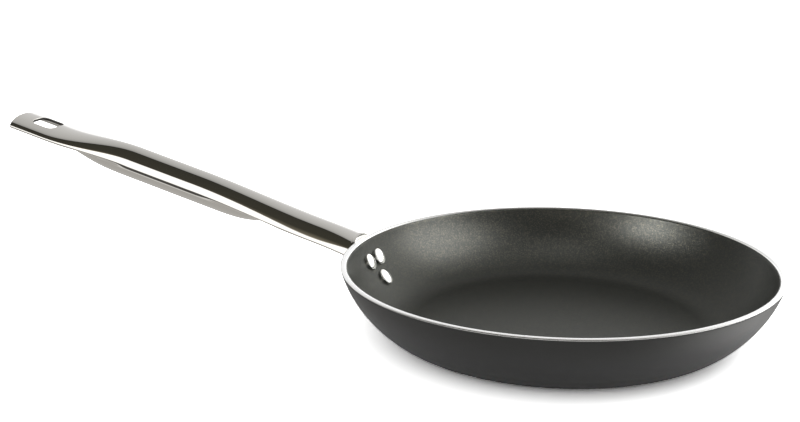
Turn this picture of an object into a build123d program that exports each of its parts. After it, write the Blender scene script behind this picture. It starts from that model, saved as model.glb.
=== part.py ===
from build123d import *
import math
import os

# Omelette pan: a pressed, coated aluminium bowl with a formed steel tube handle held by three
# rivets. Millimetres, +Z up, origin at the middle of the base's underside, handle along -X.

# Bowl, pressed from one disc: flat base, tight corner, wide wall arc, rim cut flat
rim_radius = 120.0
pan_height = 38.6
wall_run = 40.8
pan_wall = 3.0
corner_angle = 37.0
rim_angle = 73.5
base_radius = rim_radius - wall_run

# Coatings over the bare metal; the outer one stops above the turned base
coating = 0.25
coating_clear_of_table = 0.1

# Handle: a round tube, pressed up from below at both ends and bent down on to the wall
handle_angle = 13.6
axis_below_rim = 5.3
handle_length = 244.0
tube_radius = 10.1
tube_wall = 0.9
tube_lip_turn = 15.0
sheet = 2 * tube_wall
root_overlap = 7.0
section_count = 24
void_section_count = 15

# Pressed channel near the bowl, and its root where it runs into the flange. Levels are measured
# from the tube's axis, distances along it from the rim; a lean tilts the flank in towards the
# crown, and the shares say how far the crown's flat and the flank's straight reach
channel_crown = 7.5
channel_half_width = 12.1
channel_lip = -3.4
channel_lean = 20.0
channel_crown_share = 0.55
channel_flank_share = 0.74
channel_end = 26.0
channel_belly_from = 47.0
channel_belly_to = 98.0
channel_crown_to = 110.0
root_crown = 6.3
root_half_width = 12.6
root_lip = -4.3
root_lean = 8.0
root_crown_share = 0.75
root_flank_share = 0.7

# Flattened end with its hanging slot
pad_crown = 4.7
pad_half_width = 15.6
pad_lip = -2.0
pad_lean = 3.0
pad_crown_share = 0.56
pad_flank_share = 0.48
pad_belly_from = 155.0
pad_belly_to = 209.0
pad_crown_from = 156.0
pad_crown_to = 218.0
pad_end_radius = 70.0
pad_corner = 1.0
slot_length = 15.8
slot_width = 15.4
slot_corner = 4.0
slot_from_end = 11.4

# Flange under the rivets, shaped to the outside of the wall
flange_below_rim = 0.8
flange_top_half_width = 13.0
flange_top_corner = 3.0
flange_margin = 7.5

# Rivets: an upper pair and one below
rivet_pair_spacing = 12.0
rivet_pair_drop = 11.9
rivet_lower_drop = 21.8
rivet_shank = 5.0
rivet_head = 9.7
rivet_head_height = 2.1
rivet_tail = 8.6
rivet_tail_height = 1.9
rivet_edge = 0.5
rivet_bite = 0.8
rivet_clearance = 0.06

overrun = 20.0


# The two arcs of the wall meet at corner_angle and end at the rim at rim_angle
corner_sin = math.sin(math.radians(corner_angle))
corner_cos = math.cos(math.radians(corner_angle))
rim_sin = math.sin(math.radians(rim_angle))
rim_cos = math.cos(math.radians(rim_angle))
arc_balance = corner_sin * (corner_cos - rim_cos) - (rim_sin - corner_sin) * (1 - corner_cos)
corner_radius = (wall_run * (corner_cos - rim_cos) - pan_height * (rim_sin - corner_sin)) / arc_balance
wall_radius = (pan_height * corner_sin - wall_run * (1 - corner_cos)) / arc_balance
wall_centre_x = rim_radius - wall_radius * rim_sin
wall_centre_z = pan_height + wall_radius * rim_cos


def bowl_face(inset):
    """Half section of a solid that fills the bowl, its skin drawn in from the outer wall by inset."""
    wall_end = math.degrees(math.acos((wall_centre_z - pan_height) / (wall_radius - inset)))
    with BuildSketch(Plane.XZ) as half:
        with BuildLine():
            floor = Line((0, inset), (base_radius, inset))
            corner = JernArc(floor @ 1, floor % 1, corner_radius - inset, corner_angle)
            wall = JernArc(corner @ 1, corner % 1, wall_radius - inset, wall_end - corner_angle)
            Polyline(wall @ 1, (0, pan_height), (0, inset))
        make_face()
    return half.sketch


with BuildPart() as wall_core:
    revolve(bowl_face(0), axis=Axis.Z)

with BuildPart() as coated_core:
    revolve(bowl_face(-coating), axis=Axis.Z)

with BuildPart() as flange_core:
    revolve(bowl_face(-coating - sheet), axis=Axis.Z)

with BuildPart() as inner_core:
    revolve(bowl_face(pan_wall), axis=Axis.Z)

with BuildPart() as food_space:
    revolve(bowl_face(pan_wall + coating), axis=Axis.Z)


# Each rivet stands square to the wall, its plane's origin on the coated inner face
def rivet_plane(side, drop):
    height = pan_height - drop
    inner_radius = wall_radius - pan_wall - coating
    slope = math.acos((wall_centre_z - height) / inner_radius)
    reach = wall_centre_x + inner_radius * math.sin(slope)
    turn = math.pi - math.asin(side / reach)
    around = Vector(math.cos(turn), math.sin(turn), 0)
    outward = around * math.sin(slope) - Vector(0, 0, math.cos(slope))
    return Plane(around * reach + Vector(0, 0, height), z_dir=outward)


rivet_planes = {
    "rivet_near": rivet_plane(-rivet_pair_spacing / 2, rivet_pair_drop),
    "rivet_far": rivet_plane(rivet_pair_spacing / 2, rivet_pair_drop),
    "rivet_lower": rivet_plane(0, rivet_lower_drop),
}


with BuildPart() as rivet_bores:
    with BuildSketch(*rivet_planes.values()):
        Circle(rivet_shank / 2 + rivet_clearance)
    extrude(amount=overrun / 2, both=True)

with BuildPart() as pan_body:
    add(wall_core)
    add(inner_core, mode=Mode.SUBTRACT)
    add(rivet_bores, mode=Mode.SUBTRACT)

with BuildPart() as interior_coating:
    add(inner_core)
    add(food_space, mode=Mode.SUBTRACT)
    add(rivet_bores, mode=Mode.SUBTRACT)

with BuildPart() as exterior_coating:
    add(coated_core)
    add(wall_core, mode=Mode.SUBTRACT)
    with BuildSketch(Plane.XY.offset(coating_clear_of_table)):
        Circle(rim_radius)
    extrude(amount=-overrun, mode=Mode.SUBTRACT)
    add(rivet_bores, mode=Mode.SUBTRACT)


# Handle sections. Each half is three cubic curves: crown, lip and underside. They are given by
# ten control points, from the middle of the crown round the side to the middle of the underside
def round_form(radius, lip_turn):
    """The plain tube: the lip is only the next few degrees of the circle."""
    quarter = radius * math.tan(math.pi / 8) * 4 / 3
    lip = radius * math.tan(lip_turn / 4) * 4 / 3
    under = radius * math.tan((math.pi / 2 - lip_turn) / 4) * 4 / 3
    joint = Vector(math.cos(lip_turn), -math.sin(lip_turn)) * radius
    along = Vector(-math.sin(lip_turn), -math.cos(lip_turn))
    return [
        Vector(0, radius),
        Vector(quarter, radius),
        Vector(radius, quarter),
        Vector(radius, 0),
        Vector(radius, -lip),
        joint - along * lip,
        joint,
        joint + along * under,
        Vector(under, -radius),
        Vector(0, -radius),
    ]


def pressed_form(crown, half_width, lip_level, lean, crown_share, flank_share, inset):
    """The tube with its lower half pushed up inside the upper: a double sheet with folded lips."""
    flank = Vector(math.sin(math.radians(lean)), -math.cos(math.radians(lean)))
    outward = Vector(math.cos(math.radians(lean)), math.sin(math.radians(lean)))
    fold = tube_wall - inset
    fold_centre = Vector(half_width - tube_wall, lip_level + tube_wall)
    outer = fold_centre + outward * fold
    inner = fold_centre - outward * fold
    top = crown - inset
    under = crown - sheet + inset
    bend = flank * fold * 4 / 3
    return [
        Vector(0, top),
        Vector(crown_share * outer.X, top),
        outer - flank * (top - outer.Y) * flank_share,
        outer,
        outer + bend,
        inner + bend,
        inner,
        inner - flank * (under - inner.Y) * flank_share,
        Vector(crown_share * inner.X, under),
        Vector(0, under),
    ]


def blend(first, second, crown_share, belly_share):
    """Mix two forms, the crown by one share and the lip and underside by the other."""
    shares = [crown_share] * 5 + [belly_share] * 5
    return [a + (b - a) * share for a, b, share in zip(first, second, shares)]


def clipped(value):
    return min(max(value, 0), 1)


def eased(value):
    return clipped(value) ** 2 * (3 - 2 * clipped(value))


def handle_form(distance, inset, lip_turn):
    """The section at a distance along the handle from where its axis crosses the rim's radius."""
    plain = round_form(tube_radius - inset, lip_turn)
    if distance > (channel_belly_to + pad_belly_from) / 2:
        pad = pressed_form(
            pad_crown, pad_half_width, pad_lip, pad_lean, pad_crown_share, pad_flank_share, inset
        )
        crown = eased((distance - pad_crown_from) / (pad_crown_to - pad_crown_from))
        belly = clipped((distance - pad_belly_from) / (pad_belly_to - pad_belly_from))
        return blend(plain, pad, crown, belly**4)
    channel = pressed_form(
        channel_crown,
        channel_half_width,
        channel_lip,
        channel_lean,
        channel_crown_share,
        channel_flank_share,
        inset,
    )
    if distance < channel_end:
        root = pressed_form(
            root_crown, root_half_width, root_lip, root_lean, root_crown_share, root_flank_share, inset
        )
        flare = clipped((channel_end - distance) / channel_end) ** 2
        return blend(channel, root, flare, flare)
    crown = eased((channel_crown_to - distance) / (channel_crown_to - channel_end))
    belly = clipped((channel_belly_to - distance) / (channel_belly_to - channel_belly_from))
    return blend(plain, channel, crown, belly**3)


handle_turn = math.radians(handle_angle)
handle_along = Vector(-math.cos(handle_turn), 0, math.sin(handle_turn))
handle_up = Vector(math.sin(handle_turn), 0, math.cos(handle_turn))
handle_origin = Vector(-rim_radius, 0, pan_height - axis_below_rim)


def section_face(distance, curves):
    """A closed section square to the handle's axis, from the curves of its right half."""
    place = Plane(handle_origin + handle_along * distance, x_dir=(0, -1, 0), z_dir=handle_along)
    mirrored = [[Vector(-point.X, point.Y) for point in reversed(points)] for points in reversed(curves)]
    edges = [Edge.make_bezier(*map(place.from_local_coords, points)) for points in (*curves, *mirrored)]
    return Face(Wire(edges))


def handle_section(distance):
    points = handle_form(distance, 0, math.radians(tube_lip_turn))
    return section_face(distance, (points[0:4], points[3:7], points[6:10]))


def void_section(distance):
    """The hollow inside the tube, which has no lip: its crown and underside meet at the side."""
    points = handle_form(distance, tube_wall, 0)
    return section_face(distance, (points[0:4], [points[3], *points[7:10]]))


def evenly(first, last, count):
    return [first + (last - first) * step / count for step in range(count + 1)]


handle_sections = [handle_section(place) for place in evenly(-root_overlap, handle_length, section_count)]
void_ends = (channel_belly_from + sheet, pad_belly_to - sheet)
void_sections = [void_section(place) for place in evenly(*void_ends, void_section_count)]

with BuildPart() as tube_void:
    loft(void_sections)

# Flange: a shield of sheet between the coated wall and one sheet further out
flange_top = pan_height - flange_below_rim
with BuildPart() as flange:
    add(flange_core)
    add(coated_core, mode=Mode.SUBTRACT)
    with BuildSketch(Plane.YZ):
        with BuildLine():
            for place in rivet_planes.values():
                CenterArc((place.origin.Y, place.origin.Z), flange_margin, 0, 360)
            for side in (-1, 1):
                corner = (side * (flange_top_half_width - flange_top_corner), flange_top - flange_top_corner)
                CenterArc(corner, flange_top_corner, 0, 360)
        make_hull()
    extrude(amount=-rim_radius - overrun, mode=Mode.INTERSECT)

# The end is cut to a shallow arc with rounded corners, and the slot is punched through it
pad_plane = Plane(handle_origin + handle_along * handle_length, x_dir=handle_along, z_dir=handle_up)
with BuildPart() as pad_trim:
    with BuildSketch(pad_plane):
        Rectangle(pad_end_radius, 2 * pad_half_width + overrun)
    extrude(amount=overrun, both=True)
    with BuildSketch(pad_plane) as kept_end:
        with Locations((-pad_end_radius, 0)):
            Circle(pad_end_radius)
            Rectangle(2 * pad_end_radius, 2 * pad_half_width, mode=Mode.INTERSECT)
        fillet(kept_end.vertices().sort_by(Axis.X)[-2:], pad_corner)
    extrude(amount=overrun, both=True, mode=Mode.SUBTRACT)
    with BuildSketch(pad_plane):
        with Locations((-slot_from_end - slot_length / 2, 0)):
            RectangleRounded(slot_length, slot_width, slot_corner)
    extrude(amount=overrun, both=True)

with BuildPart() as handle:
    loft(handle_sections)
    add(coated_core, mode=Mode.SUBTRACT)
    add(flange)
    add(tube_void, mode=Mode.SUBTRACT)
    add(pad_trim, mode=Mode.SUBTRACT)
    add(rivet_bores, mode=Mode.SUBTRACT)

# Heads and tails are trimmed to the curved faces that they clamp
with BuildPart() as clamped:
    add(flange_core)
    add(food_space, mode=Mode.SUBTRACT)


def make_rivet(place):
    """Domed head on the coated inner face, shank through wall and flange, flatter tail outside."""
    tail_seat = pan_wall + 2 * coating + sheet
    upright = Plane(place.origin, x_dir=place.x_dir, z_dir=place.x_dir.cross(place.z_dir))
    with BuildPart() as rivet:
        for radius, seat, way, height in (
            (rivet_head / 2, 0, -1, rivet_head_height),
            (rivet_tail / 2, tail_seat, 1, rivet_tail_height),
        ):
            with BuildSketch(upright):
                with BuildLine():
                    apex = (0, seat + way * height)
                    dome = TangentArc(apex, (radius, seat + way * rivet_edge), tangent=(1, 0))
                    base = seat - way * rivet_bite
                    Polyline(dome @ 1, (radius, base), (0, base), apex)
                make_face()
            revolve(axis=Axis(place.origin, place.z_dir))
        add(clamped, mode=Mode.SUBTRACT)
        with BuildSketch(place.offset(-rivet_edge)):
            Circle(rivet_shank / 2)
        extrude(amount=tail_seat + 2 * rivet_edge)
    return rivet


pieces = {
    "pan_body": pan_body,
    "interior_coating": interior_coating,
    "exterior_coating": exterior_coating,
    "handle": handle,
    **{name: make_rivet(place) for name, place in rivet_planes.items()},
}

os.makedirs("parts", exist_ok=True)
for name, piece in pieces.items():
    piece.part.label = name
    export_step(piece.part, f"parts/{name}.step")
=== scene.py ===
import math

import bpy
import numpy as np
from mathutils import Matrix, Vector


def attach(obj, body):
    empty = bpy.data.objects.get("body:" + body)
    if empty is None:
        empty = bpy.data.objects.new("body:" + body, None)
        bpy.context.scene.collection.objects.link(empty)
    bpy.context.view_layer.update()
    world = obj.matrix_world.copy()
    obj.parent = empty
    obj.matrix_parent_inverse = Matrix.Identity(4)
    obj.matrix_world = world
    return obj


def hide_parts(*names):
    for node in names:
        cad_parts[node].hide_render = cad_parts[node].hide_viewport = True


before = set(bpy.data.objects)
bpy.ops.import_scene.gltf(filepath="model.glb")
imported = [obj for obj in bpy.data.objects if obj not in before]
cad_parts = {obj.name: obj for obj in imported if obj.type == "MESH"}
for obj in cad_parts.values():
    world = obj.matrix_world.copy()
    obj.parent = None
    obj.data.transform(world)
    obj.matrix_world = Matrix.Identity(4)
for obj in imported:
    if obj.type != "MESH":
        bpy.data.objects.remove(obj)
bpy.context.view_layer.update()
mm = 0.001
print("frame loaded:", ", ".join(sorted(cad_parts)))

cameraSetup = {
    "place": (0.186216, -0.662345, 0.250908),
    "along": (-0.37736, 0.88901, -0.25932),
    "lens": 58.68,
    "sensor": 36,
    "nearest": 0.02,
}


def placeCamera():
    lens = bpy.data.cameras.new("camera")
    lens.lens = cameraSetup["lens"]
    lens.sensor_width = cameraSetup["sensor"]
    lens.sensor_fit = "HORIZONTAL"
    lens.clip_start = cameraSetup["nearest"]
    camera = bpy.data.objects.new("camera", lens)
    camera.location = cameraSetup["place"]
    camera.rotation_euler = Vector(cameraSetup["along"]).to_track_quat("-Z", "Y").to_euler()
    bpy.context.scene.collection.objects.link(camera)
    bpy.context.scene.camera = camera


placeCamera()
print("camera placed")


class Graph:
    # short ways to add and link nodes in any tree
    def __init__(self, tree):
        self.tree = tree
        tree.nodes.clear()

    def add(self, kind, inputs=None, **settings):
        node = self.tree.nodes.new(kind)
        for name, value in settings.items():
            setattr(node, name, value)
        for name, value in (inputs or {}).items():
            if isinstance(value, bpy.types.NodeSocket):
                self.tree.links.new(value, node.inputs[name])
            else:
                node.inputs[name].default_value = value
        return node

    def math(self, operation, *values):
        return self.add("ShaderNodeMath", dict(enumerate(values)), operation=operation).outputs[0]

    def vector(self, operation, *values):
        return self.add("ShaderNodeVectorMath", dict(enumerate(values)), operation=operation)

    def spread(self, value, source, target, **settings):
        inputs = {"Value": value, "From Min": source[0], "From Max": source[1],
                  "To Min": target[0], "To Max": target[1]}
        return self.add("ShaderNodeMapRange", inputs, **settings).outputs[0]

    def split(self, vector):
        return self.add("ShaderNodeSeparateXYZ", {"Vector": vector}).outputs

    def join(self, **parts):
        return self.add("ShaderNodeCombineXYZ", parts).outputs[0]

    def link(self, source, target):
        self.tree.links.new(source, target)


def newForm(name, inputs):
    tree = bpy.data.node_groups.new(name, "GeometryNodeTree")
    for label, kind in inputs.items():
        tree.interface.new_socket(name=label, in_out="INPUT", socket_type="NodeSocket" + kind)
    tree.interface.new_socket(name="Geometry", in_out="OUTPUT", socket_type="NodeSocketGeometry")
    graph = Graph(tree)
    return graph, graph.add("NodeGroupInput").outputs


def finishForm(graph, geometry, material):
    realized = graph.add("GeometryNodeRealizeInstances", {"Geometry": geometry})
    painted = graph.add("GeometryNodeSetMaterial", {"Geometry": realized.outputs[0], "Material": material})
    graph.link(painted.outputs[0], graph.add("NodeGroupOutput").inputs[0])
    return graph.tree


def newPiece(name, points, edges=(), faces=()):
    mesh = bpy.data.meshes.new(name)
    mesh.from_pydata(np.asarray(points).tolist(), list(edges), list(faces))
    mesh.update()
    piece = bpy.data.objects.new(name, mesh)
    bpy.context.scene.collection.objects.link(piece)
    return piece


def bakeModifiers(piece):
    bpy.context.view_layer.update()
    graph = bpy.context.evaluated_depsgraph_get()
    baked = bpy.data.meshes.new_from_object(piece.evaluated_get(graph))
    piece.modifiers.clear()
    old = piece.data
    piece.data = baked
    bpy.data.meshes.remove(old)
    baked.name = piece.name


def bakeForm(piece, tree, values):
    modifier = piece.modifiers.new("form", "NODES")
    modifier.node_group = tree
    for item in tree.interface.items_tree:
        if item.in_out == "INPUT" and item.name in values:
            modifier[item.identifier] = values[item.name]
    bakeModifiers(piece)


def readMesh(mesh):
    points = np.empty(3 * len(mesh.vertices))
    mesh.vertices.foreach_get("co", points)
    return points.reshape(-1, 3)


def faceOutwards(piece):
    points = readMesh(piece.data)
    piece.data.calc_loop_triangles()
    corners = np.empty(3 * len(piece.data.loop_triangles), dtype=int)
    piece.data.loop_triangles.foreach_get("vertices", corners)
    a, b, c = (points[corners.reshape(-1, 3)[:, k]] for k in range(3))
    if np.einsum("ij,ij->", a, np.cross(b, c)) < 0:
        piece.data.flip_normals()


def shadeCrisp(piece, degrees):
    piece.data.shade_smooth()
    piece.data.set_sharp_from_angle(angle=math.radians(degrees))


def ringFaces(rows, around):
    # quads between closed rings of points that follow each other
    here = (np.arange(rows - 1)[:, None] * around + np.arange(around)).ravel()
    beside = (np.arange(rows - 1)[:, None] * around + (np.arange(around) + 1) % around).ravel()
    return np.column_stack([here, beside, beside + around, here + around]).tolist()


def handOver(piece, slot, *solids):
    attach(piece, "root")
    if solids:
        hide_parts(*solids)


def newMaterial(name, metallic, color=None, roughness=None):
    material = bpy.data.materials.new(name)
    material.use_nodes = True
    graph = Graph(material.node_tree)
    shader = graph.add("ShaderNodeBsdfPrincipled", {"Metallic": metallic})
    if color:
        shader.inputs["Base Color"].default_value = (*color, 1)
    if roughness:
        shader.inputs["Roughness"].default_value = roughness
    graph.link(shader.outputs[0], graph.add("ShaderNodeOutputMaterial").inputs["Surface"])
    return material, graph, shader, graph.add("ShaderNodeTexCoord").outputs["Object"]


def addBump(graph, shader, height, bump):
    strength, depth = bump
    node = graph.add("ShaderNodeBump", {"Height": height, "Strength": strength, "Distance": depth})
    graph.link(node.outputs[0], shader.inputs["Normal"])


def mixColors(graph, share, first, second):
    inputs = {"Factor": share, "A": (*first, 1), "B": (*second, 1)}
    return graph.add("ShaderNodeMix", inputs, data_type="RGBA").outputs["Result"]


# In every finish a bump is its strength and its depth in metres
steelFinish = {
    "color": (0.66, 0.645, 0.62),
    "roughness": (0.02, 0.06),
    "lines": (8, 1100, 400),
    "clouds": 55,
    "wear": (0.15, 0.4),
    "bump": (0.04, 0.0001),
}


def makeHandleSteel():
    material, graph, shader, place = newMaterial("handleSteel", 1, steelFinish["color"])
    # polishing lines run along the handle and fade in and out
    stretched = graph.add("ShaderNodeMapping", {"Vector": place, "Scale": steelFinish["lines"]}).outputs[0]
    lines = graph.add("ShaderNodeTexNoise", {"Vector": stretched, "Scale": 1, "Detail": 3}).outputs[0]
    clouds = graph.add("ShaderNodeTexNoise", {"Vector": place, "Scale": steelFinish["clouds"], "Detail": 3}).outputs[0]
    wear = graph.math("MULTIPLY", lines, clouds)
    graph.link(graph.spread(wear, steelFinish["wear"], steelFinish["roughness"]), shader.inputs["Roughness"])
    addBump(graph, shader, lines, steelFinish["bump"])
    return material


# the slot's sheared walls are matt and scored, and their dark colour is painted shade for the recess
punchedShadedFinish = {
    "color": (0.055, 0.053, 0.05),
    "roughness": 0.5,
    "lines": 1500,
    "stretch": (1, 1, 0.1),
    "bump": (0.3, 0.0001),
}


def makePunchedShadedSteel():
    # the sheared edge inside the slot, matt and scored in the direction of the punch; its dark colour is painted shade
    # on the slot's walls
    material, graph, shader, place = newMaterial("punchedSteel", 1, punchedShadedFinish["color"], punchedShadedFinish["roughness"])
    scored = graph.add("ShaderNodeMapping", {"Vector": place, "Scale": punchedShadedFinish["stretch"]}).outputs[0]
    lines = graph.add("ShaderNodeTexNoise", {"Vector": scored, "Scale": punchedShadedFinish["lines"], "Detail": 2}).outputs[0]
    addBump(graph, shader, lines, punchedShadedFinish["bump"])
    return material


nonStickFinish = {
    "color": (0.0135, 0.0145, 0.0132),
    "flake": (0.06, 0.057, 0.046),
    "flakeSize": 0.00042,
    "flakeShare": (0.58, 1.0),
    "metal": (0.05, 0.9),
    "roughness": 0.34,
    "specular": 0.26,
    "tint": (0.97, 1.0, 0.93),
    "grain": 2200,
    "bump": (0.25, 0.0001),
}


def makeNonStick():
    material, graph, shader, place = newMaterial("speckledNonStick", 0, roughness=nonStickFinish["roughness"])
    shader.inputs["Specular IOR Level"].default_value = nonStickFinish["specular"]
    shader.inputs["Specular Tint"].default_value = (*nonStickFinish["tint"], 1)
    # mica flakes: each cell is a flake with its own brightness and tilt
    cells = graph.add("ShaderNodeTexVoronoi", {"Vector": place, "Scale": 1 / nonStickFinish["flakeSize"]})
    random = graph.add("ShaderNodeSeparateColor", {"Color": cells.outputs["Color"]}).outputs
    share = graph.spread(random[0], nonStickFinish["flakeShare"], (0, 1))
    graph.link(mixColors(graph, share, nonStickFinish["color"], nonStickFinish["flake"]), shader.inputs["Base Color"])
    graph.link(graph.spread(share, (0, 1), nonStickFinish["metal"]), shader.inputs["Metallic"])
    grain = graph.add("ShaderNodeTexNoise", {"Vector": place, "Scale": nonStickFinish["grain"], "Detail": 3}).outputs[0]
    addBump(graph, shader, graph.math("ADD", grain, random[1]), nonStickFinish["bump"])
    return material


outerFinish = {
    "color": (0.0165, 0.0165, 0.016),
    "shades": (0.85, 1.2),  # the clouds' darkest and lightest, as shares of the color
    "roughness": 0.45,
    "specular": 0.4,
    "clouds": 22,
    "grain": 1800,
    "bump": (0.15, 0.0001),
}


def makeOuterCoat():
    material, graph, shader, place = newMaterial("outerCoating", 0, roughness=outerFinish["roughness"])
    shader.inputs["Specular IOR Level"].default_value = outerFinish["specular"]
    clouds = graph.add("ShaderNodeTexNoise", {"Vector": place, "Scale": outerFinish["clouds"], "Detail": 4}).outputs[0]
    low, high = (tuple(k * c for c in outerFinish["color"]) for k in outerFinish["shades"])
    graph.link(mixColors(graph, clouds, low, high), shader.inputs["Base Color"])
    grain = graph.add("ShaderNodeTexNoise", {"Vector": place, "Scale": outerFinish["grain"], "Detail": 2}).outputs[0]
    addBump(graph, shader, grain, outerFinish["bump"])
    return material


noiseMiddle = (0.3, 0.7)  # where most of a noise texture's values lie
turnedFinish = {"color": (0.93, 0.93, 0.925), "roughness": (0.2, 0.32), "grooves": 2600, "bump": (0.12, 0.00005)}


def makeTurnedAluminium():
    material, graph, shader, place = newMaterial("turnedAluminium", 1, turnedFinish["color"])
    # grooves from the lathe go by the distance from the bowl's axis
    x, y, z = graph.split(place)
    across = graph.math("SQRT", graph.math("ADD", graph.math("MULTIPLY", x, x), graph.math("MULTIPLY", y, y)))
    scale = turnedFinish["grooves"]
    grooves = graph.add("ShaderNodeTexNoise", {"Vector": graph.join(X=across), "Scale": scale, "Detail": 2}).outputs[0]
    graph.link(graph.spread(grooves, noiseMiddle, turnedFinish["roughness"]), shader.inputs["Roughness"])
    addBump(graph, shader, grooves, turnedFinish["bump"])
    return material


rivetFinish = {"color": (0.9, 0.895, 0.88), "roughness": (0.07, 0.16), "clouds": 900, "bump": (0.12, 0.00008)}


def makeRivetAluminium():
    material, graph, shader, place = newMaterial("rivetAluminium", 1, rivetFinish["color"])
    clouds = graph.add("ShaderNodeTexNoise", {"Vector": place, "Scale": rivetFinish["clouds"], "Detail": 4}).outputs[0]
    graph.link(graph.spread(clouds, noiseMiddle, rivetFinish["roughness"]), shader.inputs["Roughness"])
    addBump(graph, shader, clouds, rivetFinish["bump"])
    return material


handleSteel = makeHandleSteel()
punchedSteel = makePunchedShadedSteel()
speckledNonStick = makeNonStick()
outerCoating = makeOuterCoat()
turnedAluminium = makeTurnedAluminium()
rivetAluminium = makeRivetAluminium()
print("materials made")


def makeTurnedForm():
    # carries a profile round the bowl's axis
    graph, given = newForm("turnedForm", {"Profile": "Geometry", "Steps": "Int", "Material": "Material"})
    rows = graph.add("GeometryNodeAttributeDomainSize", {"Geometry": given["Profile"]}).outputs["Point Count"]
    around = graph.math("ADD", given["Steps"], 1.0)
    grid = graph.add("GeometryNodeMeshGrid", {"Size X": 1.0, "Size Y": 1.0, "Vertices X": around, "Vertices Y": rows})
    here = graph.add("GeometryNodeInputPosition").outputs[0]
    x, y, z = graph.split(here)
    turn = graph.math("MULTIPLY", graph.math("ADD", x, 0.5), 2 * math.pi)
    last = graph.math("SUBTRACT", rows, 1.0)
    row = graph.math("ROUND", graph.math("MULTIPLY", graph.math("ADD", y, 0.5), last))
    sample = graph.add("GeometryNodeSampleIndex", data_type="FLOAT_VECTOR", domain="POINT")
    graph.link(given["Profile"], sample.inputs["Geometry"])
    graph.link(here, sample.inputs["Value"])
    graph.link(row, sample.inputs["Index"])
    radius, flat, level = graph.split(sample.outputs[0])
    place = graph.join(X=graph.math("MULTIPLY", radius, graph.math("COSINE", turn)),
                       Y=graph.math("MULTIPLY", radius, graph.math("SINE", turn)), Z=level)
    bent = graph.add("GeometryNodeSetPosition", {"Geometry": grid.outputs[0], "Position": place})
    closed = graph.add("GeometryNodeMergeByDistance", {"Geometry": bent.outputs[0], "Distance": 1e-6})
    return finishForm(graph, closed.outputs[0], given["Material"])


turnedForm = makeTurnedForm()


def turnPiece(name, profile, steps, material):
    points = [(radius * mm, 0, level * mm) for radius, level in profile]
    piece = newPiece(name, points, edges=[(i, i + 1) for i in range(len(points) - 1)])
    bakeForm(piece, turnedForm, {"Steps": steps, "Material": material})
    faceOutwards(piece)
    shadeCrisp(piece, bowl["crease"])
    return piece


bowl = {
    "rimRadius": 120.0,
    "height": 38.6,
    "wallRun": 40.8,
    "wall": 3.0,
    "coating": 0.25,
    "coatStart": 0.1,
    "coatFade": 0.6,  # the coats thin out over this height below the rim
    "coatFadeSteps": (0.35, 0.7, 1.0),
    "coatLeft": 0.1,  # share of the thickness that is left at the top
    "cornerAngle": math.radians(37.0),
    "rimAngle": math.radians(73.5),
    "rimEdge": 0.8,  # how far the rim's two edges are rounded
    "rimRound": ((0.025, 0.6), (0.35, 0.2), (1.0, 0.0), (1.6, 0.0)),  # points (inwards, down) as shares of that
    "coatInset": 0.6,  # the outer coat's first point stands this far inside the metal
    "coatGap": 0.02,
    "crease": 40,
    "steps": 360,
    "floorSteps": 6,
    "cornerSteps": 16,
    "wallSteps": 30,
}


def wallArcs():
    # radii of the corner and wall arcs and the wall's centre, from the bowl's outer sizes
    cornerSin, cornerCos = math.sin(bowl["cornerAngle"]), math.cos(bowl["cornerAngle"])
    rimSin, rimCos = math.sin(bowl["rimAngle"]), math.cos(bowl["rimAngle"])
    balance = cornerSin * (cornerCos - rimCos) - (rimSin - cornerSin) * (1 - cornerCos)
    corner = (bowl["wallRun"] * (cornerCos - rimCos) - bowl["height"] * (rimSin - cornerSin)) / balance
    wall = (bowl["height"] * cornerSin - bowl["wallRun"] * (1 - cornerCos)) / balance
    return corner, wall, (bowl["rimRadius"] - wall * rimSin, bowl["height"] + wall * rimCos)


cornerRadius, wallRadius, wallCentre = wallArcs()
baseRadius = bowl["rimRadius"] - bowl["wallRun"]


def wallReach(height, inset):
    # how far out the wall stands at a height, its skin drawn in by inset
    return wallCentre[0] + np.sqrt((wallRadius - inset) ** 2 - (wallCentre[1] - height) ** 2)


def wallProfile(inset, top=bowl["height"]):
    # from the axis along the floor, up the corner and the wall to the height top
    points = [(baseRadius * i / bowl["floorSteps"], inset) for i in range(bowl["floorSteps"])]
    end = math.acos((wallCentre[1] - top) / (wallRadius - inset))
    for radius, centre, first, last, steps in (
        (cornerRadius, (baseRadius, cornerRadius), 0, bowl["cornerAngle"], bowl["cornerSteps"]),
        (wallRadius, wallCentre, bowl["cornerAngle"], end, bowl["wallSteps"]),
    ):
        for i in range(1 if first else 0, steps + 1):
            angle = first + (last - first) * i / steps
            reach = radius - inset
            points.append((centre[0] + reach * math.sin(angle), centre[1] - reach * math.cos(angle)))
    return points


def rimPoints(outer, inner):
    # the cut rim is flat, with its two edges rounded off
    edge, level, half = bowl["rimEdge"], bowl["height"], bowl["rimRound"]
    return ([(outer - inwards * edge, level - drop * edge) for inwards, drop in half]
            + [(inner + inwards * edge, level - drop * edge) for inwards, drop in half[::-1]])


def coatSkin(inset, thickness, top):
    # the coat's face, which thins out to the metal just below the rim
    fade = bowl["coatFade"]
    skin = wallProfile(inset + thickness, top - fade)
    for share in bowl["coatFadeSteps"]:
        level = top - fade * (1 - share)
        left = thickness * (1 - (1 - bowl["coatLeft"]) * share ** 2)
        skin.append((float(wallReach(level, inset + left)), level))
    return skin


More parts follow.
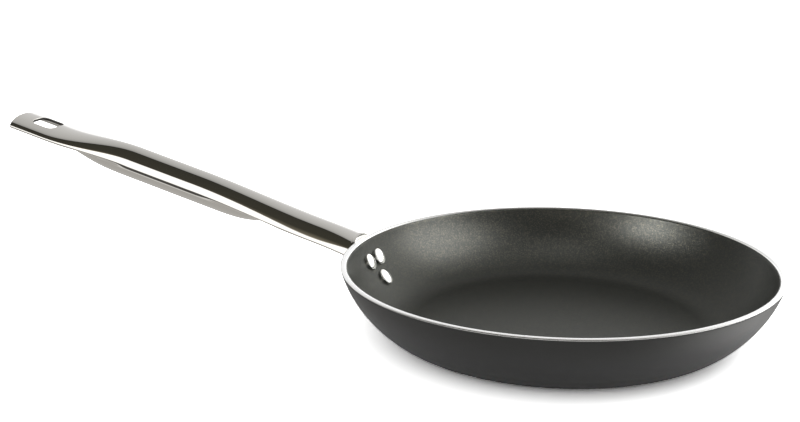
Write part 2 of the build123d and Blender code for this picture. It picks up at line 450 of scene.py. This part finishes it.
def makeBowl():
    below = bowl["height"] - bowl["rimEdge"]
    edge = rimPoints(wallProfile(0)[-1][0], wallProfile(bowl["wall"])[-1][0])
    profile = wallProfile(0, below) + edge + wallProfile(bowl["wall"], below)[::-1]
    body = turnPiece("panBody", profile, bowl["steps"], turnedAluminium)

    top = below - bowl["coatGap"]
    food = coatSkin(bowl["wall"], bowl["coating"], top)
    under = wallProfile(bowl["wall"], top)
    interior = turnPiece("interiorCoating", food + under[::-1], bowl["steps"], speckledNonStick)

    start = bowl["coatStart"]
    skin = [p for p in coatSkin(0, -bowl["coating"], top) if p[1] > start]
    back = [p for p in wallProfile(0, top) if p[1] > start]
    loop = [(back[0][0] - bowl["coatInset"], start)] + skin + back[::-1]
    exterior = turnPiece("exteriorCoating", loop + loop[:1], bowl["steps"], outerCoating)
    handOver(body, "pan_metal", "pan_body")
    handOver(interior, "non_stick", "interior_coating")
    handOver(exterior, "outer_coating", "exterior_coating")


makeBowl()
print("bowl turned")

tube = {
    "angle": math.radians(13.6),
    "belowRim": 5.3,
    "length": 244.0,
    "radius": 10.1,
    "wall": 0.9,
    "fold": 1.5,  # radius of the folded lips
    "lipTurn": math.radians(15.0),
    "channelEnd": 26.0,
    "channelBelly": (98.0, 47.0),
    "channelCrown": (110.0, 26.0),
    "padBelly": (155.0, 204.0),
    "padCrown": (156.0, 218.0),
    "endRadius": 70.0,
    "edge": 0.3,
    "rootFillet": 0.9,
    "rootOffset": 1.8,  # the fillet ends this far out from the wall, on the flange's face
    "rootSink": 0.35,
    "rootSteepest": 0.98,  # the fillet stops just short of standing upright
    "rootSearch": (-14.0, 20.0),  # the wall is met between these distances from the rim
    "rootHalvings": 30,
    "crease": 35,
    "stations": 280,
    "edgeSteps": 4,
    "crownSteps": 44,
    "lipSteps": 12,
}
channelForm = {"crown": 7.5, "halfWidth": 12.1, "lip": -3.4, "lean": 20.0, "crownShare": 0.55, "flankShare": 0.74}
rootForm = {"crown": 6.3, "halfWidth": 12.6, "lip": -4.3, "lean": 8.0, "crownShare": 0.75, "flankShare": 0.7}
padForm = {"crown": 4.7, "halfWidth": 15.6, "lip": -2.0, "lean": 3.0, "crownShare": 0.56, "flankShare": 0.48}

alongHandle = np.array([-math.cos(tube["angle"]), 0, math.sin(tube["angle"])])
upHandle = np.array([math.sin(tube["angle"]), 0, math.cos(tube["angle"])])
handleStart = np.array([-bowl["rimRadius"], 0, bowl["height"] - tube["belowRim"]])


def roundForm(inset):
    # ten control points (across, up) for half a section: crown, lip, underside
    radius, lip = tube["radius"] - inset, tube["lipTurn"]
    quarter, side, under = (4 / 3 * math.tan(turn / 4) for turn in (math.pi / 2, lip, math.pi / 2 - lip))
    joint = np.array([math.cos(lip), -math.sin(lip)])
    way = np.array([-math.sin(lip), -math.cos(lip)])
    points = np.array([(0, 1), (quarter, 1), (1, quarter), (1, 0), (1, -side), joint - side * way, joint,
                       joint + under * way, (under, -1), (0, -1)])
    return radius[:, None, None] * points


def pressedForm(form, inset):
    # the tube with its lower half pushed up inside the upper one
    lean = math.radians(form["lean"])
    flank = np.array([math.sin(lean), -math.cos(lean)])
    outward = np.array([math.cos(lean), math.sin(lean)])
    fold = (tube["fold"] - inset)[:, None]
    centre = np.array([form["halfWidth"] - tube["fold"], form["lip"] + tube["fold"]])
    outer, inner = centre + fold * outward, centre - fold * outward
    top, under = form["crown"] - inset, form["crown"] - 2 * tube["wall"] + inset
    reach = form["flankShare"] * flank
    points = np.zeros((len(inset), 10, 2))
    points[:, 0, 1] = points[:, 1, 1] = top
    points[:, 8, 1] = points[:, 9, 1] = under
    points[:, 1, 0] = form["crownShare"] * outer[:, 0]
    points[:, 8, 0] = form["crownShare"] * inner[:, 0]
    points[:, 2] = outer - (top - outer[:, 1])[:, None] * reach
    points[:, 7] = inner - (under - inner[:, 1])[:, None] * reach
    points[:, 3], points[:, 6] = outer, inner
    points[:, 4], points[:, 5] = outer + 4 / 3 * fold * flank, inner + 4 / 3 * fold * flank
    return points


def eased(value):
    return value ** 2 * (3 - 2 * value)


def handleForms(distance, inset):
    # the section's control points at each distance along the handle from the rim
    def share(span):
        return np.clip((distance - span[0]) / (span[1] - span[0]), 0, 1)

    def blended(first, second, crown, belly):
        shares = np.concatenate([np.repeat(crown[:, None], 5, 1), np.repeat(belly[:, None], 5, 1)], 1)
        return first + (second - first) * shares[..., None]

    plain, channel = roundForm(inset), pressedForm(channelForm, inset)
    flare = share((tube["channelEnd"], 0)) ** 2
    near = blended(plain, channel, eased(share(tube["channelCrown"])), share(tube["channelBelly"]) ** 3)
    near = np.where((distance < tube["channelEnd"])[:, None, None],
                    blended(channel, pressedForm(rootForm, inset), flare, flare), near)
    far = blended(plain, pressedForm(padForm, inset), eased(share(tube["padCrown"])), share(tube["padBelly"]) ** 4)
    middle = (tube["channelBelly"][0] + tube["padBelly"][0]) / 2
    return np.where((distance > middle)[:, None, None], far, near)


def outlineWeights():
    # each line of the tube as a mix of the ten control points, from crown to underside
    def cubic(steps, extra=0):
        t = np.arange(steps + extra)[:, None] / steps
        return np.hstack([(1 - t) ** 3, 3 * (1 - t) ** 2 * t, 3 * (1 - t) * t ** 2, t ** 3])

    parts = ((0, cubic(tube["crownSteps"])), (3, cubic(tube["lipSteps"])), (6, cubic(tube["crownSteps"], 1)))
    return np.vstack([np.pad(rows, ((0, 0), (first, 6 - first))) for first, rows in parts])


lineWeights = outlineWeights()
lineCount = len(lineWeights)


def handlePoints(distance, line, inset=0.0, side=1):
    # millimetre points of the tube's lines at distances along it
    distance, line, inset = (np.ravel(v) for v in np.broadcast_arrays(distance, line, inset))
    across, up = np.einsum("nk,nkc->cn", lineWeights[line], handleForms(distance, inset))
    return handleStart + np.outer(distance, alongHandle) + np.outer(side * across, (0, 1, 0)) + np.outer(up, upHandle)


def rootDistances():
    # where each line of the tube goes into the coated wall
    lines = np.arange(lineCount)
    low, high = (np.full(lineCount, end) for end in tube["rootSearch"])
    for _ in range(tube["rootHalvings"]):
        middle = (low + high) / 2
        x, y, z = handlePoints(middle, lines).T
        outside = np.hypot(x, y) > wallReach(z, tube["rootSink"] - bowl["coating"])
        high, low = np.where(outside, middle, high), np.where(outside, low, middle)
    return high


def endDistances():
    # the end is a shallow arc
    across = handlePoints(tube["length"], np.arange(lineCount))[:, 1]
    return tube["length"] - tube["endRadius"] + np.sqrt(tube["endRadius"] ** 2 - across ** 2)


def capFaces(first, around, flip):
    # closes an end of the folded sheet, crown to underside, on both sides
    steps, faces = tube["crownSteps"], []
    for side in (1, -1):
        ring = [first + (side * j) % around for j in range(lineCount)]
        caps = [(ring[j], ring[j + 1], ring[lineCount - 2 - j], ring[lineCount - 1 - j]) for j in range(steps)]
        caps.append(tuple(ring[steps:lineCount - steps]))
        faces += [cap if (side == 1) == flip else cap[::-1] for cap in caps]
    return faces


def makeHandle():
    lines, edge, fillet = np.arange(lineCount), tube["edge"], tube["rootFillet"]
    starts, ends = rootDistances(), endDistances() - edge
    rows = []
    for share in np.linspace(0, 1, tube["stations"] + 1):
        distance = starts + (ends - starts) * share
        # the tube opens out where it meets the flange
        near = np.clip(1 - (distance - starts - tube["rootOffset"]) / fillet, 0, 1)
        rows.append((distance, -fillet * (1 - np.sqrt(1 - tube["rootSteepest"] * near ** 2))))
    for step in range(1, tube["edgeSteps"] + 1):
        angle = math.pi / 2 * step / tube["edgeSteps"]
        rows.append((ends + edge * math.sin(angle), edge * (1 - math.cos(angle))))
    points = []
    for distance, inset in rows:
        right = handlePoints(distance, lines, inset)
        left = handlePoints(distance, lines, inset, side=-1)
        points += [right, left[-2:0:-1]]
    around = 2 * lineCount - 2
    faces = ringFaces(len(rows), around)
    faces += capFaces(0, around, False) + capFaces((len(rows) - 1) * around, around, True)
    piece = newPiece("handleTube", np.vstack(points) * mm, faces=faces)
    faceOutwards(piece)
    return piece


slot = {
    "length": 15.8,
    "width": 15.4,
    "corner": 4.0,
    "fromEnd": 11.4,
    "edge": 0.12,  # width of the bevel round the slot
    "bevelOver": 0.36,  # the punch's bevel runs on this far past the sheet's face
    "clear": 3.0,  # and the punch itself this far
    "cornerSteps": 10,
    "paintMargin": 0.1,
    "upright": 0.3,
}
slotMiddle = tube["length"] - slot["fromEnd"] - slot["length"] / 2


def slotOutline(grow):
    # (along, across) points round the slot, its sides moved out by grow
    corner = slot["corner"] + grow
    turns = np.radians([[start + 90 * i / slot["cornerSteps"] for i in range(slot["cornerSteps"] + 1)]
                        for start in (0, 90, 180, 270)])
    centres = np.array([(1, 1), (-1, 1), (-1, -1), (1, -1)]) * (slot["length"] / 2 - slot["corner"],
                                                               slot["width"] / 2 - slot["corner"])
    ring = centres[:, None] + corner * np.stack([np.cos(turns), np.sin(turns)], -1)
    return ring.reshape(-1, 2) + (slotMiddle, 0)


def sheetLevels(outline):
    # heights of the crown's top and underside over each point of the outline
    steps, levels = tube["crownSteps"], []
    for along, across in outline:
        for lines in (np.arange(steps + 1), np.arange(lineCount - 1, lineCount - steps - 2, -1)):
            spots = handlePoints(along, lines) - handleStart
            levels.append(np.interp(abs(across), spots[:, 1], spots @ upHandle))
    return np.array(levels).reshape(-1, 2).T


def punchSlot(handle):
    edge, over, clear = slot["edge"], slot["bevelOver"], slot["clear"]
    inside, outside = slotOutline(0), slotOutline(edge + over)
    top, under = sheetLevels(inside)
    rings = []
    for outline, level in ((outside, top + clear), (outside, top + over), (inside, top - edge),
                           (inside, under + edge), (outside, under - over), (outside, under - clear)):
        rings.append(handleStart + np.outer(outline[:, 0], alongHandle) + np.outer(outline[:, 1], (0, 1, 0))
                     + np.outer(level, upHandle))
    around = len(inside)
    faces = ringFaces(len(rings), around)
    faces += [tuple(range(around))[::-1], tuple(range((len(rings) - 1) * around, len(rings) * around))]
    punch = newPiece("slotPunch", np.vstack(rings) * mm, faces=faces)
    faceOutwards(punch)
    cut = handle.modifiers.new("slot", "BOOLEAN")
    cut.operation = "DIFFERENCE"
    cut.solver = "EXACT"
    cut.object = punch
    bakeModifiers(handle)
    bpy.data.objects.remove(punch)


def paintHandle(handle):
    # the walls of the slot are sheared steel, made dark with painted shade; everything else is polished
    mesh = handle.data
    mesh.materials.clear()
    mesh.materials.append(handleSteel)
    mesh.materials.append(punchedSteel)
    centres, normals = np.empty(3 * len(mesh.polygons)), np.empty(3 * len(mesh.polygons))
    mesh.polygons.foreach_get("center", centres)
    mesh.polygons.foreach_get("normal", normals)
    spots = centres.reshape(-1, 3) / mm - handleStart
    along, across = spots @ alongHandle - slotMiddle, spots[:, 1]
    upright = np.abs(normals.reshape(-1, 3) @ upHandle) < slot["upright"]
    margin = slot["paintMargin"]
    within = (np.abs(along) < slot["length"] / 2 + margin) & (np.abs(across) < slot["width"] / 2 + margin)
    mesh.polygons.foreach_set("material_index", (upright & within).astype(int))
    mesh.update()


handle = makeHandle()
punchSlot(handle)
paintHandle(handle)
shadeCrisp(handle, tube["crease"])
handOver(handle, "handle_steel", "handle")
print("handle formed:", len(handle.data.polygons), "faces")

rivet = {
    "spacing": 12.0,
    "pairDrop": 11.9,
    "lowerDrop": 21.8,
    "head": 9.7,
    "headHeight": 2.1,
    "tail": 8.6,
    "tailHeight": 1.9,
    "edge": 1.2,  # height of the steep side below the dome
    "domePower": 1.15,
    "shank": 5.0,
    "sink": 0.7,
    "steps": 64,
    "domeSteps": 14,
}


def rivetSeat(side, drop):
    # place on the coated inner wall and the way out through it
    height = bowl["height"] - drop
    radius = wallRadius - bowl["wall"] - bowl["coating"]
    slope = math.acos((wallCentre[1] - height) / radius)
    reach = wallCentre[0] + radius * math.sin(slope)
    way = math.pi - math.asin(side / reach)
    around = np.array([math.cos(way), math.sin(way), 0])
    return around * reach + np.array([0, 0, height]), around * math.sin(slope) - np.array([0, 0, math.cos(slope)])


rivetSeats = [rivetSeat(side * rivet["spacing"] / 2, rivet["pairDrop"]) for side in (-1, 1)]
rivetSeats.append(rivetSeat(0, rivet["lowerDrop"]))


def domeArc(radius, height):
    # from the crown of a head out to its side, with a rounded shoulder
    turns = np.linspace(0, math.pi / 2, rivet["domeSteps"] + 1)
    rise = height - rivet["edge"]
    return [(radius * math.sin(t) ** rivet["domePower"], rivet["edge"] + rise * math.cos(t)) for t in turns]


def rivetProfile():
    seat = bowl["wall"] + 2 * bowl["coating"] + 2 * tube["wall"]
    head = [(radius, -level) for radius, level in domeArc(rivet["head"] / 2, rivet["headHeight"])]
    tail = [(radius, seat + level) for radius, level in domeArc(rivet["tail"] / 2, rivet["tailHeight"])]
    shank, sink = rivet["shank"] / 2, rivet["sink"]
    middle = [(rivet["head"] / 2, sink), (shank, sink), (shank, seat - sink), (rivet["tail"] / 2, seat - sink)]
    return head + middle + tail[::-1]


def makeRivetForm():
    # one rivet at each seat, turned to face through the wall
    graph, given = newForm("rivetsOnSeats", {"Seats": "Geometry", "Rivet": "Object", "Material": "Material"})
    facing = graph.add("GeometryNodeInputNamedAttribute", {"Name": "facing"}, data_type="FLOAT_VECTOR").outputs[0]
    turned = graph.add("FunctionNodeAlignRotationToVector", {"Vector": facing}, axis="Z").outputs[0]
    form = graph.add("GeometryNodeObjectInfo", {"Object": given["Rivet"]}).outputs["Geometry"]
    seats = graph.add("GeometryNodeMeshToPoints", {"Mesh": given["Seats"]}).outputs[0]
    placed = graph.add("GeometryNodeInstanceOnPoints", {"Points": seats, "Instance": form, "Rotation": turned})
    return finishForm(graph, placed.outputs[0], given["Material"])


def makeRivets():
    form = turnPiece("rivetForm", rivetProfile(), rivet["steps"], rivetAluminium)
    piece = newPiece("rivets", [place * mm for place, outward in rivetSeats])
    facing = piece.data.attributes.new("facing", "FLOAT_VECTOR", "POINT")
    facing.data.foreach_set("vector", np.ravel([outward for place, outward in rivetSeats]))
    bakeForm(piece, makeRivetForm(), {"Rivet": form, "Material": rivetAluminium})
    bpy.data.objects.remove(form)
    handOver(piece, "rivet_metal", "rivet_near", "rivet_far", "rivet_lower")


makeRivets()
print("rivets set")

flange = {
    "belowRim": 3.0,
    "topHalfWidth": 8.5,
    "topCorner": 3.0,
    "margin": 7.5,
    "edge": 0.5,
    "edgeTurns": (67, 45, 22, 0),
    "lift": 0.02,
    "crease": 40,
    "outlineSteps": 160,
    "circleSteps": 72,
    "rings": 13,
    "hub": 0.1,  # the innermost ring's size as a share of the outline
}


def flangeOutline():
    # the hull of circles round the rivets and at the two top corners, as (across, up)
    top = bowl["height"] - flange["belowRim"] - flange["topCorner"]
    side = flange["topHalfWidth"] - flange["topCorner"]
    circles = [(place[1], place[2], flange["margin"]) for place, outward in rivetSeats]
    circles += [(-side, top, flange["topCorner"]), (side, top, flange["topCorner"])]
    turns = np.linspace(0, 2 * math.pi, flange["circleSteps"], endpoint=False)
    cloud = sorted((y + r * math.cos(t), z + r * math.sin(t)) for y, z, r in circles for t in turns)

    def lowerChain(points):
        kept = []
        for y, z in points:
            while len(kept) > 1 and ((kept[-1][0] - kept[-2][0]) * (z - kept[-2][1])
                                     <= (kept[-1][1] - kept[-2][1]) * (y - kept[-2][0])):
                kept.pop()
            kept.append((y, z))
        return kept

    ring = np.array(lowerChain(cloud) + lowerChain(cloud[::-1])[1:])
    run = np.concatenate([[0], np.cumsum(np.linalg.norm(np.diff(ring, axis=0), axis=1))])
    places = np.linspace(0, run[-1], flange["outlineSteps"], endpoint=False)
    return np.column_stack([np.interp(places, run, ring[:, k]) for k in (0, 1)])


def onWall(spots, lift):
    # points of the handle's side of the wall, lifted off its coating
    across, up = spots.T
    reach = wallReach(up, -bowl["coating"] - lift)
    return np.column_stack([-np.sqrt(reach ** 2 - across ** 2), across, up])


def makeFlange():
    outline = flangeOutline()
    middle = outline.mean(axis=0)
    inwards = (middle - outline) / np.linalg.norm(middle - outline, axis=1)[:, None]
    sheet, edge = 2 * tube["wall"], flange["edge"]
    shoulder = outline + edge * inwards
    shares = np.linspace(flange["hub"], 1, flange["rings"])
    rows = [onWall(middle + (shoulder - middle) * share, sheet) for share in shares]
    for angle in np.radians(flange["edgeTurns"]):
        rows.append(onWall(outline + edge * (1 - math.cos(angle)) * inwards, sheet - edge + edge * math.sin(angle)))
    rows.append(onWall(outline, flange["lift"]))
    around = len(outline)
    faces = ringFaces(len(rows), around)
    faces += [tuple(range(around))[::-1], tuple(range((len(rows) - 1) * around, len(rows) * around))]
    piece = newPiece("handleFlange", np.vstack(rows) * mm, faces=faces)
    faceOutwards(piece)
    piece.data.materials.append(handleSteel)
    shadeCrisp(piece, flange["crease"])
    handOver(piece, "handle_steel")


makeFlange()
print("flange formed")

studio = {
    "floorHalf": 6.0,
    "floorColor": 0.85,
    "floorGain": 3.0,  # the camera sees the pale floor as a cut-out white, down to the deep shadow
    "floorMirrored": 0.2,  # the share of that white in what reflections see
    "floorSolid": (0.115, 0.135),  # reflections see the floor near the pan, and the room further out
    "roomLight": 0.85,
    "lamps": [  # place, what it is aimed at, size, power
        ((0.8, 0.25, 1.15), (0, 0, 0), 1.0, 4.4),
    ],
    "coatLamps": [  # mirrored in the coating inside the bowl, and adding no light to any colour
        ((0.39, 0.15, 0.34), (-0.1, 0.045, 0.027), 0.38, 5.6),
        ((-0.32, -0.285, 0.32), (0.027, 0.111, 0.032), 0.2, 4.0),
        ((0.02, -0.1, 0.6), (-0.03, 0.1, 0.015), 0.25, 0.6),
    ],
}


def makeFloor():
    half = studio["floorHalf"]
    floor = newPiece("floor", [(-half, -half, 0), (half, -half, 0), (half, half, 0), (-half, half, 0)],
                     faces=[(0, 1, 2, 3)])
    material = bpy.data.materials.new("paleFloor")
    material.use_nodes = True
    graph = Graph(material.node_tree)
    path = graph.add("ShaderNodeLightPath").outputs
    plain, bright = (graph.add("ShaderNodeBsdfDiffuse", {"Color": (level, level, level, 1)}).outputs[0]
                     for level in (studio["floorColor"], studio["floorGain"]))
    mirrored = graph.math("MAXIMUM", path["Is Glossy Ray"], path["Is Transmission Ray"])
    looked = graph.math("MAXIMUM", path["Is Camera Ray"], graph.math("MULTIPLY", mirrored, studio["floorMirrored"]))
    seen = graph.add("ShaderNodeMixShader", {0: looked, 1: plain, 2: bright}).outputs[0]
    place = graph.add("ShaderNodeTexCoord").outputs["Object"]
    distance = graph.vector("LENGTH", place).outputs["Value"]
    open_ = graph.spread(distance, studio["floorSolid"], (0, 1))
    away = graph.math("MULTIPLY", open_, path["Is Glossy Ray"])
    clear = graph.add("ShaderNodeBsdfTransparent").outputs[0]
    final = graph.add("ShaderNodeMixShader", {0: away, 1: seen, 2: clear}).outputs[0]
    graph.link(final, graph.add("ShaderNodeOutputMaterial").inputs["Surface"])
    floor.data.materials.append(material)


def hangLamps(lamps, lit=None):
    # softboxes for the whole set, or seen only mirrored in the piece named as lit
    receivers = None
    if lit:
        receivers = bpy.data.collections.new("receivers")
        receivers.objects.link(lit)
    for place, target, size, power in lamps:
        lamp = bpy.data.lights.new("softLamp", "AREA")
        lamp.size = size
        lamp.energy = power
        piece = bpy.data.objects.new("softLamp", lamp)
        piece.location = place
        piece.rotation_euler = (Vector(target) - Vector(place)).to_track_quat("-Z", "Y").to_euler()
        piece.visible_glossy = bool(lit)
        piece.visible_diffuse = not lit
        piece.visible_camera = False
        bpy.context.scene.collection.objects.link(piece)
        if receivers:
            piece.light_linking.receiver_collection = receivers


# What reflections see of the room, by the angle round the handle: 0 is level to the front, 90 straight up,
# 180 level to the back
roomBands = [
    (-180, (1.0, 1.0, 1.0)), (-160, (0.62, 0.61, 0.59)), (-52, (0.55, 0.535, 0.51)), (-46, (0.97, 0.96, 0.93)),
    (-43, (0.97, 0.96, 0.93)), (-41, (0.1, 0.097, 0.09)), (-21.5, (0.1, 0.097, 0.09)), (-20, (1.7, 1.69, 1.66)),
    (24, (1.7, 1.69, 1.66)), (26, (0.06, 0.056, 0.042)), (84, (0.05, 0.048, 0.038)), (90, (0.03, 0.03, 0.026)),
    (92.5, (0.45, 0.445, 0.43)), (108, (0.62, 0.615, 0.6)), (135, (0.74, 0.735, 0.72)), (154, (0.82, 0.815, 0.81)),
    (159, (0.9, 0.9, 0.9)), (162, (1.1, 1.1, 1.1)), (166, (1.35, 1.35, 1.35)), (180, (1.35, 1.35, 1.35)),
]
softBoxes = [  # direction, half width in degrees, strength
    ((0.1, -0.95, 0.2), 34, (0.45, 0.4, 0.3)),
    ((0.7, 0.5, -0.5), 36, (2.2, 2.2, 2.17)),
    ((0.45, 0.85, 0.3), 36, (1.1, 1.1, 1.06)),
]


def makeRoom():
    world = bpy.data.worlds.new("room")
    world.use_nodes = True
    bpy.context.scene.world = world
    graph = Graph(world.node_tree)
    way = graph.add("ShaderNodeTexCoord").outputs["Generated"]
    x, y, z = graph.split(way)
    angle = graph.math("ARCTAN2", z, graph.math("MULTIPLY", y, -1.0))
    ramp = graph.add("ShaderNodeValToRGB", {"Fac": graph.spread(angle, (-math.pi, math.pi), (0, 1))})
    stops, top = ramp.color_ramp.elements, 2.0  # a ramp holds no color above 1, so it is scaled up by top
    for i, (degrees, color) in enumerate(roomBands):
        place = degrees / 360 + 0.5
        stop = stops[i] if i < 2 else stops.new(place)
        stop.position = place
        stop.color = (*[c / top for c in color], 1)
    scaled = graph.vector("SCALE", ramp.outputs[0])
    scaled.inputs["Scale"].default_value = top
    light = scaled.outputs[0]
    for direction, half, strength in softBoxes:
        towards = tuple(Vector(direction).normalized())
        near = graph.vector("DOT_PRODUCT", way, towards).outputs["Value"]
        share = graph.spread(near, (math.cos(math.radians(half)), 1), (0, 1), interpolation_type="SMOOTHSTEP")
        glow = graph.vector("SCALE", strength)
        graph.link(share, glow.inputs["Scale"])
        light = graph.vector("ADD", light, glow.outputs[0]).outputs[0]
    level = studio["roomLight"]
    room = graph.add("ShaderNodeBackground", {"Color": light}).outputs[0]
    soft = graph.add("ShaderNodeBackground", {"Color": (level, level, level, 1)}).outputs[0]
    white = graph.add("ShaderNodeBackground", {"Color": (1, 1, 1, 1)}).outputs[0]
    path = graph.add("ShaderNodeLightPath").outputs
    mirrored = graph.add("ShaderNodeMixShader", {0: path["Is Glossy Ray"], 1: soft, 2: room}).outputs[0]
    final = graph.add("ShaderNodeMixShader", {0: path["Is Camera Ray"], 1: mirrored, 2: white}).outputs[0]
    graph.link(final, graph.add("ShaderNodeOutputWorld").inputs[0])


makeFloor()
hangLamps(studio["lamps"])
hangLamps(studio["coatLamps"], bpy.data.objects["interiorCoating"])
makeRoom()
bpy.context.scene.view_settings.view_transform = "Standard"
print("studio lit")
